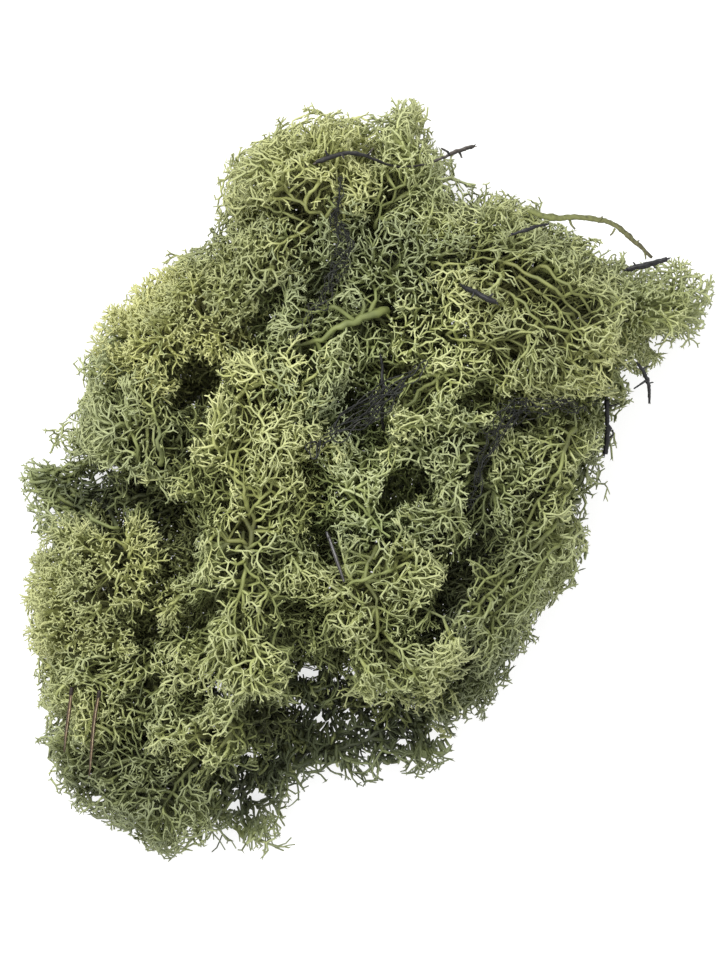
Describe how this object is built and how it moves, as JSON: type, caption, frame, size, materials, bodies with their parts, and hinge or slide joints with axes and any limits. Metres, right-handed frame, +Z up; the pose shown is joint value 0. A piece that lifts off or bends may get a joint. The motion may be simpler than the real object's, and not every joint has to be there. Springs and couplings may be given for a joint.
{
  "type": "moss clump",
  "caption": "Tangled cushion of green reindeer moss tufts, domed on top and cut flat beneath, with dark twigs, dry needles and black dead strands caught in it",
  "frame": {"origin": "middle of the box's footprint, on the floor that the cut underside lies on", "axes": "+Z up out of the clump's best face, +Y along its long way towards the crown tuft, +X towards the long arm that sticks out on the right"},
  "size_m": [0.1964, 0.2122, 0.062],
  "materials": {
    "lichen_light": "matt, fine antler-like branches, pale yellow-green",
    "lichen": "matt, fine antler-like branches, mid green",
    "lichen_dark": "matt, fine antler-like branches, deep green going brown-black inside",
    "bark": "matt, cracked dark bark",
    "bare_stem": "matt, scaly olive-brown",
    "needle": "satin, dry brown",
    "dead_strand": "matt, black lacy fibres"
  },
  "bodies": {
    "root": {"needle_dark": "needle", "needle_left": "needle", "needle_right": "needle", "stem_arm": "bare_stem", "strand_crown": "dead_strand", "strand_hollow": "dead_strand", "strand_right": "dead_strand", "tuft_arm_fringe": "lichen", "tuft_arm_mid": "lichen", "tuft_arm_tip": "lichen_light", "tuft_arm_top": "lichen", "tuft_bottom_mid": "lichen", "tuft_bottom_net": "lichen_dark", "tuft_centre": "lichen_dark", "tuft_centre_right": "lichen", "tuft_centre_top": "lichen", "tuft_column_lower": "lichen_light", "tuft_column_upper": "lichen_light", "tuft_crown_left": "lichen_light", "tuft_crown_right": "lichen", "tuft_crown_tip": "lichen_light", "tuft_cushion_low": "lichen_light", "tuft_cushion_upper": "lichen_light", "tuft_foot_left": "lichen", "tuft_foot_sprig": "lichen_dark", "tuft_hollow": "lichen_dark", "tuft_left_mid": "lichen", "tuft_left_tag": "lichen_dark", "tuft_left_wing": "lichen_dark", "tuft_lower_left": "lichen", "tuft_neck": "lichen", "tuft_right_foot": "lichen_dark", "tuft_right_low": "lichen", "tuft_right_lower": "lichen", "tuft_right_mid": "lichen", "tuft_shoulder": "lichen_light", "tuft_tongue": "lichen_light", "twig_arm": "bark", "twig_arm_mid": "bark", "twig_arm_top": "bark", "twig_centre": "bark", "twig_crown": "bark", "twig_fringe": "bark", "twig_hanging": "bark"}
  },
  "joints": []
}
